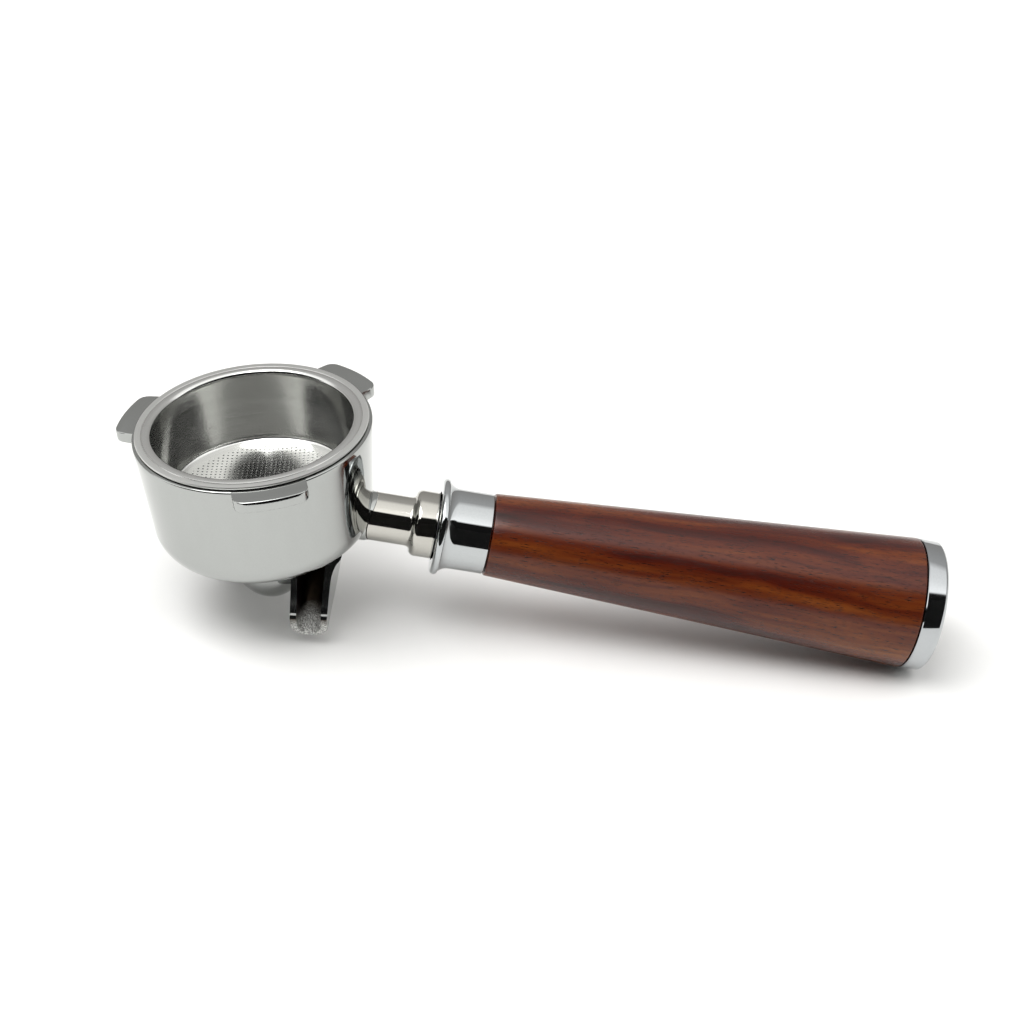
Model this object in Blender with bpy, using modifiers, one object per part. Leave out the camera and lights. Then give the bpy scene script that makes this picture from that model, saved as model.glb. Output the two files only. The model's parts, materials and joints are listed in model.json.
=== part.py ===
"""A 51 mm three-lug portafilter with a double spout and a turned wooden handle.

Metres, +Z up. The bowl's axis is Z, and the origin is on that axis, level with the
top of the filter basket's rim, which is the face that the group gasket presses on.
The handle points towards +X and slopes down.
"""
import math

import bmesh
import bpy
from mathutils import Matrix, Vector

# ---- driving dimensions, metres and degrees ----
SEAT_GAP = 0.0003            # between pieces that rest on each other
THREAD_GAP = 0.0003          # between a thread's outside and the hole it turns in

RIM_RADIUS = 0.0305          # outside of the bowl at its rim
FOOT_RADIUS = 0.02845        # outside of the bowl where the bottom corner starts
BOWL_BOTTOM = -0.0333        # flat underside of the bowl
BOTTOM_CORNER = 0.008
CAVITY_RADIUS = 0.0267
CAVITY_CORNER = 0.005
FLOOR_THICKNESS = 0.0035
FLOOR_FALL = 0.0008          # the floor's fall towards the outlet
RIM_EDGE = 0.0004

LUG_ANGLES = (45.0, 165.0, 284.0)
LUG_REACH = 0.0352           # from the bowl's axis to a lug's outer face
LUG_WIDTH = 0.0184
LUG_THICKNESS = 0.003
LUG_CORNER = 0.003

FLANGE_RADIUS = 0.0297       # outside of the basket's rim
SHEET = 0.0006               # the basket's sheet thickness
BEAD_OUTER = 0.0280          # the rounded inner part of the basket's rim
BEAD_HEIGHT = 0.00025
BASKET_MOUTH = 0.0255        # inside of the basket under the rim
BASKET_FOOT = 0.0246         # inside of the basket above the bottom corner
BASKET_DEPTH = 0.0216
BASKET_DISH = 0.0012
BASKET_CORNER = 0.0014

WIRE_RADIUS = 0.0006
SPRING_LEVEL = -0.0070
SPRING_OPENING = 20.0        # degrees of gap between the wire's ends
GROOVE_GAP = 0.0004

OUTLET_RADIUS = 0.0045
BOSS_RADIUS = 0.0080         # outside of the outlet boss's thread
BOSS_LENGTH = 0.0060
GASKET_THICKNESS = 0.0008
GASKET_WIDTH = 0.0017

HUB_WALL = 0.0017
HUB_STRAIGHT = 0.0067        # height of the hub's straight part
HUB_DOME = 0.0116            # height of the hub's rounded belly
HUB_POINT = 1.3              # how pointed the belly is; 1 is a plain ellipse
CROSS_HOLE_RADIUS = 0.0026
CROSS_HOLE_DROP = 0.0032     # from the boss's end face to the cross hole's axis
GUTTER_WIDTH = 0.0095        # across the gutter's flanks at its tip
GUTTER_TAPER = 0.05          # widening for each unit of height
GUTTER_WALL = 0.0017
GUTTER_FLARE = 0.0022        # how far the outer flank spreads under the bowl
GUTTER_DROP = 0.0220         # from the gutter's top to its tip
GUTTER_OFFSET = 0.0121       # from the bowl's axis to the gutter's middle, at the tip
GUTTER_LEAN = 0.096          # sideways shift for each unit of height
GUTTER_CORNER = 0.0035       # rounding of the gutter's outer back edges
GUTTER_TURN = -97.0          # the way the first gutter opens

HANDLE_SLOPE = 14.0          # below the horizontal
HANDLE_LEVEL = -0.0227       # where the handle's axis crosses the bowl's axis
NECK_RADIUS = 0.0064
NECK_START = 0.0292          # the seam between bowl and neck, along the handle's axis
SEAM_BEND = 0.0140           # radius of the saddle-shaped seam
ROOT_FLARE = 0.0012
COLLAR_RADIUS = 0.00867
COLLAR_START = 0.0390
COLLAR_END = 0.0452
COLLAR_ROUND = 0.0020

STUD_RADIUS = 0.0040
STUD_DEPTH = 0.0110          # how far the stud goes into the neck
STUD_END = 0.0980
NUT_ACROSS_FLATS = 0.0130
NUT_THICKNESS = 0.0050

FERRULE_START = 0.0455
FERRULE_END = 0.0592
FERRULE_RADIUS = 0.0105
FERRULE_RIM = 0.0126
FERRULE_RIM_ROUND = 0.0011
FERRULE_FLARE = 0.0046       # length of the hollow curve behind the rim
FERRULE_WALL = 0.0015

GRIP_FRONT_RADIUS = 0.0108
GRIP_TAIL_RADIUS = 0.0173
GRIP_LENGTH = 0.1130
GRIP_EDGE = 0.0006
SPIGOT_LENGTH = 0.0065
INSERT_WALL = 0.0022
FRONT_INSERT_LENGTH = 0.0240
TAIL_INSERT_LENGTH = 0.0180
CAP_STUD_RADIUS = 0.0030
CAP_STUD_LENGTH = 0.0200
CAP_LENGTH = 0.0056
CAP_EDGE = 0.0009
CAP_PLUG_RADIUS = 0.0060
CAP_PLUG_LENGTH = 0.0035
CAP_SKIN = 0.0022            # metal left behind the cap stud's blind hole

# ---- places that follow from the sizes ----
RIM_TOP = -(SHEET + SEAT_GAP)
FLOOR_LEVEL = BOWL_BOTTOM + FLOOR_THICKNESS
BOSS_END = BOWL_BOTTOM - BOSS_LENGTH
GASKET_TOP = BOWL_BOTTOM - SEAT_GAP
HUB_TOP = GASKET_TOP - GASKET_THICKNESS - SEAT_GAP
HUB_BORE = BOSS_RADIUS + THREAD_GAP
HUB_RADIUS = HUB_BORE + HUB_WALL
HUB_SHOULDER = BOSS_END - SEAT_GAP
CROSS_HOLE_LEVEL = HUB_SHOULDER - CROSS_HOLE_DROP
GUTTER_TOP = BOWL_BOTTOM - 1.5 * SEAT_GAP
GUTTER_TIP = GUTTER_TOP - GUTTER_DROP
STUD_BORE = STUD_RADIUS + THREAD_GAP
STUD_START = COLLAR_END - STUD_DEPTH
NUT_START = COLLAR_END + SEAT_GAP
NUT_END = NUT_START + NUT_THICKNESS
FERRULE_BORE = FERRULE_RADIUS - FERRULE_WALL
GRIP_START = FERRULE_END + SEAT_GAP
GRIP_END = GRIP_START + GRIP_LENGTH
SPIGOT_START = GRIP_START - SPIGOT_LENGTH
SPIGOT_RADIUS = FERRULE_BORE - SEAT_GAP
INSERT_RADIUS = STUD_BORE + INSERT_WALL
INSERT_POCKET = INSERT_RADIUS + SEAT_GAP
FRONT_INSERT_START = SPIGOT_START + SEAT_GAP
FRONT_INSERT_END = FRONT_INSERT_START + FRONT_INSERT_LENGTH
CAP_START = GRIP_END + SEAT_GAP
CAP_END = CAP_START + CAP_LENGTH
PLUG_START = CAP_START - CAP_PLUG_LENGTH
PLUG_POCKET = CAP_PLUG_RADIUS + SEAT_GAP
TAIL_INSERT_END = PLUG_START - 2 * SEAT_GAP
TAIL_INSERT_START = TAIL_INSERT_END - TAIL_INSERT_LENGTH
CAP_STUD_BORE = CAP_STUD_RADIUS + THREAD_GAP
CAP_STUD_END = CAP_END - CAP_SKIN - SEAT_GAP
CAP_STUD_START = CAP_STUD_END - CAP_STUD_LENGTH
TAIL_INSERT_RADIUS = CAP_STUD_BORE + INSERT_WALL
TAIL_POCKET = TAIL_INSERT_RADIUS + SEAT_GAP

ROUND_STEPS = 60             # facets round the bowl and the basket
HANDLE_STEPS = 40            # facets round the handle's pieces
SMALL_STEPS = 24
MERGE = 0.00001


def clear_scene():
    for thing in list(bpy.data.objects):
        bpy.data.objects.remove(thing, do_unlink=True)


def new_collection(name):
    group = bpy.data.collections.new(name)
    bpy.context.scene.collection.children.link(group)
    return group


clear_scene()
PARTS = new_collection("portafilter")
CUTTERS = new_collection("cutters")


def material(name, colour, roughness, metallic):
    """A plain Principled material for one sub-part."""
    made = bpy.data.materials.new(name)
    made.use_nodes = True
    shader = made.node_tree.nodes["Principled BSDF"]
    shader.inputs["Base Color"].default_value = (*colour, 1.0)
    shader.inputs["Roughness"].default_value = roughness
    shader.inputs["Metallic"].default_value = metallic
    made.diffuse_color = (*colour, 1.0)
    return made


def add_object(name, mesh, finish=None, parent=None):
    """Link a mesh as a part, or as a hidden cutter when it has no finish."""
    made = bpy.data.objects.new(name, mesh)
    (PARTS if finish else CUTTERS).objects.link(made)
    if finish:
        mesh.materials.append(finish)
    else:
        made.hide_render = True
        made.display_type = "WIRE"
    made.parent = parent
    return made


def arc(centre_r, centre_z, radius, start, end, steps):
    """Points (r, z) of an arc in the profile plane, from start to end degrees."""
    points = []
    for step in range(steps + 1):
        angle = math.radians(start + (end - start) * step / steps)
        points.append((centre_r + radius * math.cos(angle), centre_z + radius * math.sin(angle)))
    return points


def turned(name, profile, steps, finish=None, parent=None, closed=False):
    """A solid of revolution about Z from (r, z) points, with a Screw modifier."""
    count = len(profile)
    edges = [(index, index + 1) for index in range(count - 1)]
    if closed:
        edges.append((count - 1, 0))
    mesh = bpy.data.meshes.new(name)
    mesh.from_pydata([(r, 0.0, z) for r, z in profile], edges, [])
    made = add_object(name, mesh, finish, parent)
    screw = made.modifiers.new("turn", "SCREW")
    screw.axis = "Z"
    screw.steps = steps
    screw.render_steps = steps
    screw.use_merge_vertices = True
    screw.merge_threshold = MERGE
    screw.use_smooth_shade = True
    return made


def flat_plate(name, outline, thickness):
    """A mesh from a flat outline in its own XY plane, half the thickness each way."""
    curve = bpy.data.curves.new(name, "CURVE")
    curve.dimensions = "2D"
    curve.fill_mode = "BOTH"
    curve.extrude = thickness / 2
    spline = curve.splines.new("POLY")
    spline.points.add(len(outline) - 1)
    for point, place in zip(spline.points, outline):
        point.co = (place[0], place[1], 0.0, 1.0)
    spline.use_cyclic_u = True
    holder = bpy.data.objects.new(name + "_outline", curve)
    CUTTERS.objects.link(holder)
    evaluated = holder.evaluated_get(bpy.context.evaluated_depsgraph_get())
    mesh = bpy.data.meshes.new_from_object(evaluated)
    bpy.data.objects.remove(holder, do_unlink=True)
    work = bmesh.new()
    work.from_mesh(mesh)
    bmesh.ops.remove_doubles(work, verts=work.verts, dist=MERGE)
    bmesh.ops.recalc_face_normals(work, faces=work.faces)
    work.to_mesh(mesh)
    work.free()
    mesh.materials.clear()
    return mesh


def boolean(target, operation, operand):
    """Join or cut the target with another object, exactly."""
    step = target.modifiers.new(operation.lower(), "BOOLEAN")
    step.operation = operation
    step.solver = "EXACT"
    step.object = operand


def axis_empty(name, location, tilt):
    """An empty whose local Z is an axis that pieces are turned about."""
    made = bpy.data.objects.new(name, None)
    PARTS.objects.link(made)
    made.location = location
    made.rotation_euler = (0.0, tilt, 0.0)
    return made


CHROME = material("chromed_bowl", (0.78, 0.78, 0.77), 0.06, 1.0)
ARM_CHROME = material("chromed_arm", (0.76, 0.76, 0.74), 0.08, 1.0)
SPOUT_CHROME = material("chromed_spout", (0.70, 0.70, 0.69), 0.12, 1.0)
STAINLESS = material("stainless_basket", (0.62, 0.61, 0.59), 0.22, 1.0)
SPRING_WIRE = material("spring_wire", (0.55, 0.55, 0.55), 0.25, 1.0)
SILICONE = material("silicone_gasket", (0.60, 0.12, 0.08), 0.55, 0.0)
ZINC_STEEL = material("zinc_plated_steel", (0.60, 0.60, 0.62), 0.35, 1.0)
FERRULE_CHROME = material("chromed_ferrule", (0.80, 0.81, 0.82), 0.05, 1.0)
HARDWOOD = material("red_hardwood", (0.20, 0.055, 0.025), 0.35, 0.0)
BRASS = material("brass_insert", (0.72, 0.52, 0.20), 0.3, 1.0)
CAP_CHROME = material("chromed_cap", (0.80, 0.81, 0.82), 0.07, 1.0)


# ---- the handle's axis: local Z runs from the bowl to the end cap ----
HANDLE_AXIS = axis_empty(
    "handle_axis", (0.0, 0.0, HANDLE_LEVEL), math.radians(90.0 + HANDLE_SLOPE)
)


def lug_outline():
    """Plan of one lug along +X: parallel sides, rounded corners, a curved outer face."""
    half = LUG_WIDTH / 2
    root = (CAVITY_RADIUS + RIM_RADIUS) / 2
    corner_y = half - LUG_CORNER
    corner_x = math.sqrt((LUG_REACH - LUG_CORNER) ** 2 - corner_y ** 2)
    turn = math.degrees(math.atan2(corner_y, corner_x))
    outline = [(root, -half)]
    outline += arc(corner_x, -corner_y, LUG_CORNER, -90.0, -turn, 5)
    outline += arc(0.0, 0.0, LUG_REACH, -turn, turn, 8)[1:-1]
    outline += arc(corner_x, corner_y, LUG_CORNER, turn, 90.0, 5)
    outline.append((root, half))
    return outline


def saddle_cutter(name, radius):
    """A round bar across the handle's axis, whose side is the curved seam."""
    length = 4 * NECK_RADIUS
    mesh = bpy.data.meshes.new(name)
    work = bmesh.new()
    bmesh.ops.create_cone(
        work, cap_ends=True, segments=ROUND_STEPS, radius1=radius, radius2=radius, depth=length
    )
    bmesh.ops.rotate(work, verts=work.verts, matrix=Matrix.Rotation(math.radians(90.0), 3, "Y"))
    bmesh.ops.translate(work, verts=work.verts, vec=(0.0, 0.0, NECK_START - SEAM_BEND))
    work.to_mesh(mesh)
    work.free()
    return add_object(name, mesh, None, HANDLE_AXIS)


def make_bowl():
    """The cup casting: a drafted wall, three lugs, a neck root, a cavity and an outlet."""
    outside = [(0.0, RIM_TOP), (RIM_RADIUS - RIM_EDGE, RIM_TOP), (RIM_RADIUS, RIM_TOP - RIM_EDGE)]
    outside += arc(
        FOOT_RADIUS - BOTTOM_CORNER, BOWL_BOTTOM + BOTTOM_CORNER, BOTTOM_CORNER, 0.0, -90.0, 9
    )
    outside += [(BOSS_RADIUS, BOWL_BOTTOM), (BOSS_RADIUS, BOSS_END), (0.0, BOSS_END)]
    bowl = turned("bowl", outside, ROUND_STEPS, CHROME)

    lug_mesh = flat_plate("lug", lug_outline(), LUG_THICKNESS)
    for number, angle in enumerate(LUG_ANGLES, start=1):
        lug = add_object(f"lug_{number}", lug_mesh)
        lug.location = (0.0, 0.0, RIM_TOP - LUG_THICKNESS / 2)
        lug.rotation_euler = (0.0, 0.0, math.radians(angle))
        boolean(bowl, "UNION", lug)

    flare_start = NECK_START - 2 * ROOT_FLARE
    buried = NECK_START - NECK_RADIUS
    root = [(0.0, NECK_START + ROOT_FLARE), (NECK_RADIUS, NECK_START + ROOT_FLARE)]
    root += [(NECK_RADIUS, NECK_START - ROOT_FLARE / 2), (NECK_RADIUS + ROOT_FLARE / 3, flare_start)]
    root += arc(0.0, buried, NECK_RADIUS + ROOT_FLARE / 3, 0.0, -90.0, 8)[:-1]
    root.append((0.0, buried - NECK_RADIUS - ROOT_FLARE / 3))
    root_piece = turned("neck_root", root, SMALL_STEPS, None, HANDLE_AXIS)
    boolean(root_piece, "INTERSECT", saddle_cutter("seam_bowl_side", SEAM_BEND))
    boolean(bowl, "UNION", root_piece)

    corner_top = FLOOR_LEVEL + CAVITY_CORNER
    groove_radius = CAVITY_RADIUS + 2 * WIRE_RADIUS
    half_groove = WIRE_RADIUS + GROOVE_GAP
    cavity = [(0.0, RIM_TOP + SHEET), (CAVITY_RADIUS, RIM_TOP + SHEET)]
    cavity += [
        (CAVITY_RADIUS, SPRING_LEVEL + half_groove),
        (groove_radius, SPRING_LEVEL + half_groove),
        (groove_radius, SPRING_LEVEL - half_groove),
        (CAVITY_RADIUS, SPRING_LEVEL - half_groove),
    ]
    cavity += arc(CAVITY_RADIUS - CAVITY_CORNER, corner_top, CAVITY_CORNER, 0.0, -90.0, 7)
    cavity += [(OUTLET_RADIUS, FLOOR_LEVEL - FLOOR_FALL), (OUTLET_RADIUS, BOSS_END - SEAT_GAP)]
    cavity.append((0.0, BOSS_END - SEAT_GAP))
    boolean(bowl, "DIFFERENCE", turned("cavity", cavity, ROUND_STEPS))
    return bowl


def make_basket():
    """The filter basket: one pressed sheet, from its flat rim down to its dished floor."""
    bead_middle = (BASKET_MOUTH + BEAD_OUTER) / 2
    floor_edge = -(BASKET_DEPTH - BASKET_DISH)
    corner_r = BASKET_FOOT - BASKET_CORNER
    inside = [(FLANGE_RADIUS, 0.0), (BEAD_OUTER, 0.0)]
    inside += [(bead_middle + 0.0004, BEAD_HEIGHT), (bead_middle - 0.0004, BEAD_HEIGHT * 0.8)]
    inside += [(BASKET_MOUTH + 0.0002, -0.0004), (BASKET_MOUTH, -2 * SHEET)]
    inside += arc(corner_r, floor_edge + BASKET_CORNER, BASKET_CORNER, 0.0, -90.0, 5)
    inside += [(corner_r * 0.66, floor_edge - BASKET_DISH * 0.55)]
    inside += [(corner_r * 0.33, floor_edge - BASKET_DISH * 0.9), (0.0, floor_edge - BASKET_DISH)]
    basket = turned("basket", inside, ROUND_STEPS, STAINLESS)
    sheet = basket.modifiers.new("sheet", "SOLIDIFY")
    sheet.thickness = SHEET
    sheet.offset = 1.0
    sheet.use_even_offset = True
    return basket


def make_basket_spring():
    """The retaining wire: an open ring in the bowl's groove."""
    curve = bpy.data.curves.new("basket_spring", "CURVE")
    curve.dimensions = "3D"
    curve.bevel_depth = WIRE_RADIUS
    curve.bevel_resolution = 2
    curve.use_fill_caps = True
    spline = curve.splines.new("POLY")
    count = 60
    spline.points.add(count - 1)
    ring_radius = CAVITY_RADIUS + 2 * WIRE_RADIUS - GROOVE_GAP - WIRE_RADIUS
    for index, point in enumerate(spline.points):
        turn = SPRING_OPENING / 2 + (360.0 - SPRING_OPENING) * index / (count - 1)
        angle = math.radians(turn)
        point.co = (ring_radius * math.cos(angle), ring_radius * math.sin(angle), 0.0, 1.0)
    spring = bpy.data.objects.new("basket_spring", curve)
    curve.materials.append(SPRING_WIRE)
    spring.location = (0.0, 0.0, SPRING_LEVEL)
    PARTS.objects.link(spring)
    return spring


def make_spout_gasket():
    """The flat ring that seals the spout's hub against the bowl's underside."""
    inner = BOSS_RADIUS + SEAT_GAP
    outer = inner + GASKET_WIDTH
    bottom = GASKET_TOP - GASKET_THICKNESS
    profile = [(inner, GASKET_TOP), (outer, GASKET_TOP), (outer, bottom), (inner, bottom)]
    return turned("spout_gasket", profile, HANDLE_STEPS, SILICONE, closed=True)


def gutter_loft(name, stations, inset, corner, flare):
    """A gutter solid, or the channel cut in it, through U-shaped sections.

    Each station gives the section's back and front as reach and height above the tip.
    Inset is taken off both flanks, and corner rounds the two back edges.
    """
    work = bmesh.new()
    previous = None
    rings = []
    for back_reach, back_rise, front_reach, front_rise in stations:
        back = Vector((back_reach, back_rise))
        ahead = Vector((front_reach, front_rise)) - back
        length = ahead.length
        ahead.normalize()
        rounding = [math.radians(90.0 * step / 4) for step in range(5)]
        outline = [(length, 1.0, 0.0)]
        outline += [(corner * (1.0 - math.sin(t)), 1.0, corner * (1.0 - math.cos(t))) for t in rounding]
        outline += [(place, -1.0, cut) for place, _, cut in reversed(outline)]
        ring = []
        for place, side, cut in outline:
            reach, rise = back + ahead * place
            spread = flare * max(0.0, rise / GUTTER_DROP) ** 10 if side > 0.0 else 0.0
            half = (GUTTER_WIDTH + GUTTER_TAPER * rise) / 2 - inset + spread - cut
            middle = GUTTER_OFFSET + GUTTER_LEAN * rise
            ring.append(work.verts.new((reach, GUTTER_TIP + rise, -(middle + side * half))))
        edges = [work.edges.new((ring[index - 1], ring[index])) for index in range(len(ring))]
        if previous:
            bmesh.ops.bridge_loops(work, edges=previous + edges)
        previous = edges
        rings.append(ring)
    work.faces.new(rings[0])
    work.faces.new(rings[-1])
    bmesh.ops.recalc_face_normals(work, faces=work.faces)
    mesh = bpy.data.meshes.new(name)
    work.to_mesh(mesh)
    work.free()
    return mesh


def gutter_matrix(turn):
    """The gutter's own X points the way it opens, its Y up and its Z to one side."""
    angle = math.radians(turn)
    ahead = Vector((math.cos(angle), math.sin(angle), 0.0))
    up = Vector((0.0, 0.0, 1.0))
    side = ahead.cross(up)
    return Matrix((ahead, up, side)).transposed().to_4x4()


def make_spout():
    """The double spout: a threaded hub with a round belly and two open gutters."""
    belly = HUB_TOP - HUB_STRAIGHT
    profile = [(0.0, HUB_TOP), (HUB_RADIUS, HUB_TOP), (HUB_RADIUS, belly)]
    for step in range(1, 9):
        angle = math.radians(90.0 * step / 9)
        profile.append((HUB_RADIUS * math.cos(angle) ** HUB_POINT, belly - HUB_DOME * math.sin(angle)))
    profile.append((0.0, belly - HUB_DOME))
    spout = turned("spout", profile, HANDLE_STEPS, SPOUT_CHROME)

    drop = GUTTER_DROP
    body_mesh = gutter_loft(
        "gutter",
        (
            (0.0052, drop, 0.0112, drop),
            (0.0046, drop - 0.0012, 0.0115, drop - 0.0008),
            (0.0030, drop - 0.0024, 0.01185, drop - 0.0018),
            (-0.0010, drop - 0.0036, 0.0122, drop - 0.0028),
            (-0.0044, drop - 0.0052, 0.0127, drop - 0.0042),
            (-0.0044, drop - 0.0090, 0.0138, drop - 0.0074),
            (-0.0034, 0.0116, 0.01465, 0.0124),
            (0.0005, 0.0086, 0.01555, 0.0098),
            (0.0050, 0.0058, 0.0161, 0.0084),
            (0.0095, 0.0027, 0.01635, 0.0076),
            (0.0132, 0.0, 0.0166, 0.0070),
            (0.0150, 0.0006, 0.0167, 0.0068),
        ),
        0.0, GUTTER_CORNER, GUTTER_FLARE,
    )
    channel_mesh = gutter_loft(
        "channel",
        (
            (0.0070, drop + 0.0010, 0.0200, drop + 0.0010),
            (0.0064, drop - 0.0015, 0.0200, drop - 0.0010),
            (0.0048, drop - 0.0030, 0.0200, drop - 0.0022),
            (0.0008, drop - 0.0046, 0.0200, drop - 0.0036),
            (-0.0026, drop - 0.0066, 0.0200, drop - 0.0054),
            (-0.0026, 0.0140, 0.0200, 0.0152),
            (0.0, 0.0122, 0.0200, 0.0134),
            (0.0042, 0.0096, 0.0200, 0.0114),
            (0.0088, 0.0065, 0.0200, 0.0096),
            (0.0132, 0.0029, 0.0200, 0.0074),
            (0.0175, -0.0007, 0.0205, 0.0060),
        ),
        GUTTER_WALL, GUTTER_CORNER - GUTTER_WALL / 2, 0.0,
    )
    for number in (1, 2):
        place = gutter_matrix(GUTTER_TURN + 180.0 * (number - 1))
        channel = add_object(f"channel_{number}", channel_mesh)
        channel.matrix_world = place
        gutter = add_object(f"gutter_{number}", body_mesh)
        gutter.matrix_world = place
        boolean(gutter, "DIFFERENCE", channel)
        boolean(spout, "UNION", gutter)

    bore_end = CROSS_HOLE_LEVEL - CROSS_HOLE_RADIUS
    recess = HUB_BORE + GASKET_WIDTH + SEAT_GAP
    bore = [(0.0, BOWL_BOTTOM), (recess, BOWL_BOTTOM), (recess, HUB_TOP), (HUB_BORE, HUB_TOP)]
    bore.append((HUB_BORE, HUB_SHOULDER))
    bore += [(OUTLET_RADIUS, HUB_SHOULDER), (OUTLET_RADIUS, bore_end), (0.0, bore_end - 0.0012)]
    boolean(spout, "DIFFERENCE", turned("spout_bore", bore, HANDLE_STEPS))

    cross = bpy.data.meshes.new("cross_hole")
    work = bmesh.new()
    bmesh.ops.create_cone(
        work, cap_ends=True, segments=16, radius1=CROSS_HOLE_RADIUS,
        radius2=CROSS_HOLE_RADIUS, depth=2 * (HUB_RADIUS + 1.5 * GUTTER_WALL),
    )
    bmesh.ops.rotate(work, verts=work.verts, matrix=Matrix.Rotation(math.radians(90.0), 3, "Y"))
    work.to_mesh(cross)
    work.free()
    cross_hole = add_object("cross_hole", cross)
    cross_hole.location = (0.0, 0.0, CROSS_HOLE_LEVEL)
    cross_hole.rotation_euler = (0.0, 0.0, math.radians(GUTTER_TURN + 90.0))
    boolean(spout, "DIFFERENCE", cross_hole)
    return spout


def make_neck():
    """The arm: a round bar with a stepped collar and a tapped hole for the stud."""
    step_foot = COLLAR_START
    profile = [(0.0, STUD_START - SEAT_GAP), (STUD_BORE, STUD_START - SEAT_GAP)]
    profile += [(STUD_BORE, COLLAR_END), (COLLAR_RADIUS - RIM_EDGE, COLLAR_END)]
    profile.append((COLLAR_RADIUS, COLLAR_END - RIM_EDGE))
    rounded = COLLAR_RADIUS - COLLAR_ROUND
    profile += arc(rounded, step_foot + COLLAR_ROUND, COLLAR_ROUND, 0.0, -60.0, 5)
    hollow = rounded + COLLAR_ROUND * 0.5 - NECK_RADIUS
    profile += [(NECK_RADIUS + hollow * 0.3, step_foot - 0.0003), (NECK_RADIUS, step_foot - 0.0011)]
    buried = NECK_START - SEAM_BEND / 2
    profile += [(NECK_RADIUS, buried), (0.0, buried)]
    neck = turned("neck_arm", profile, HANDLE_STEPS, ARM_CHROME, HANDLE_AXIS)
    boolean(neck, "DIFFERENCE", saddle_cutter("seam_neck_side", SEAM_BEND + SEAT_GAP))
    return neck


def make_handle_stud():
    """The threaded rod that joins the neck to the insert in the wood."""
    profile = [(0.0, STUD_END), (STUD_RADIUS - RIM_EDGE, STUD_END), (STUD_RADIUS, STUD_END - RIM_EDGE)]
    profile += [(STUD_RADIUS, STUD_START), (0.0, STUD_START)]
    return turned("handle_stud", profile, SMALL_STEPS, ZINC_STEEL, HANDLE_AXIS)


def make_lock_nut():
    """The hexagon nut that locks the stud against the collar."""
    corner = NUT_ACROSS_FLATS / math.sqrt(3.0)
    profile = [(0.0, NUT_END), (corner, NUT_END), (corner, NUT_START), (0.0, NUT_START)]
    nut = turned("lock_nut", profile, 6, ZINC_STEEL, HANDLE_AXIS)
    top = NUT_END + SHEET
    bottom = NUT_START - SHEET
    bore = [(0.0, top), (STUD_BORE, top), (STUD_BORE, bottom), (0.0, bottom)]
    boolean(nut, "DIFFERENCE", turned("nut_bore", bore, SMALL_STEPS, None, HANDLE_AXIS))
    return nut


def make_ferrule():
    """The chromed sleeve: a rounded rim, a hollow curve and a straight skirt."""
    rise = FERRULE_RIM - FERRULE_RADIUS
    crown = FERRULE_START + FERRULE_RIM_ROUND
    profile = [(FERRULE_BORE, FERRULE_END), (FERRULE_RADIUS - 0.0002, FERRULE_END)]
    profile += [(FERRULE_RADIUS, FERRULE_END - 0.0002), (FERRULE_RADIUS, FERRULE_START + FERRULE_FLARE)]
    for part in (0.18, 0.36, 0.54, 0.72, 0.88):
        reach = FERRULE_FLARE - (FERRULE_FLARE - FERRULE_RIM_ROUND * 1.4) * part
        profile.append((FERRULE_RADIUS + rise * 0.9 * part ** 1.9, FERRULE_START + reach))
    profile += arc(FERRULE_RIM - FERRULE_RIM_ROUND, crown, FERRULE_RIM_ROUND, 40.0, -90.0, 6)
    profile.append((FERRULE_BORE, FERRULE_START))
    return turned("ferrule", profile, HANDLE_STEPS, FERRULE_CHROME, HANDLE_AXIS, closed=True)


def make_grip():
    """The tapered wooden handle, bored for the stud and for both inserts."""
    stud_room = STUD_END + 2 * SEAT_GAP
    profile = [(0.0, TAIL_INSERT_START - SEAT_GAP - 0.003), (CAP_STUD_BORE, TAIL_INSERT_START - SEAT_GAP)]
    profile += [(TAIL_POCKET, TAIL_INSERT_START - SEAT_GAP), (TAIL_POCKET, PLUG_START - SEAT_GAP)]
    profile += [(PLUG_POCKET, PLUG_START - SEAT_GAP), (PLUG_POCKET, GRIP_END)]
    profile += [(GRIP_TAIL_RADIUS - GRIP_EDGE, GRIP_END), (GRIP_TAIL_RADIUS, GRIP_END - GRIP_EDGE)]
    profile += [(GRIP_FRONT_RADIUS, GRIP_START + 0.0002), (GRIP_FRONT_RADIUS - 0.0002, GRIP_START)]
    profile += [(SPIGOT_RADIUS, GRIP_START), (SPIGOT_RADIUS, SPIGOT_START)]
    profile += [(INSERT_POCKET, SPIGOT_START), (INSERT_POCKET, FRONT_INSERT_END + SEAT_GAP)]
    profile += [(STUD_BORE, FRONT_INSERT_END + SEAT_GAP), (STUD_BORE, stud_room)]
    profile.append((0.0, stud_room + 0.002))
    return turned("grip", profile, HANDLE_STEPS, HARDWOOD, HANDLE_AXIS)


def make_insert(name, start, end, radius, bore):
    """A brass threaded insert."""
    profile = [(bore, end), (radius, end), (radius, start), (bore, start)]
    return turned(name, profile, SMALL_STEPS, BRASS, HANDLE_AXIS, closed=True)


def make_cap_stud():
    """The short stud that holds the end cap in the tail insert."""
    profile = [(0.0, CAP_STUD_END), (CAP_STUD_RADIUS, CAP_STUD_END)]
    profile += [(CAP_STUD_RADIUS, CAP_STUD_START), (0.0, CAP_STUD_START)]
    return turned("cap_stud", profile, SMALL_STEPS, ZINC_STEEL, HANDLE_AXIS)


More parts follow.
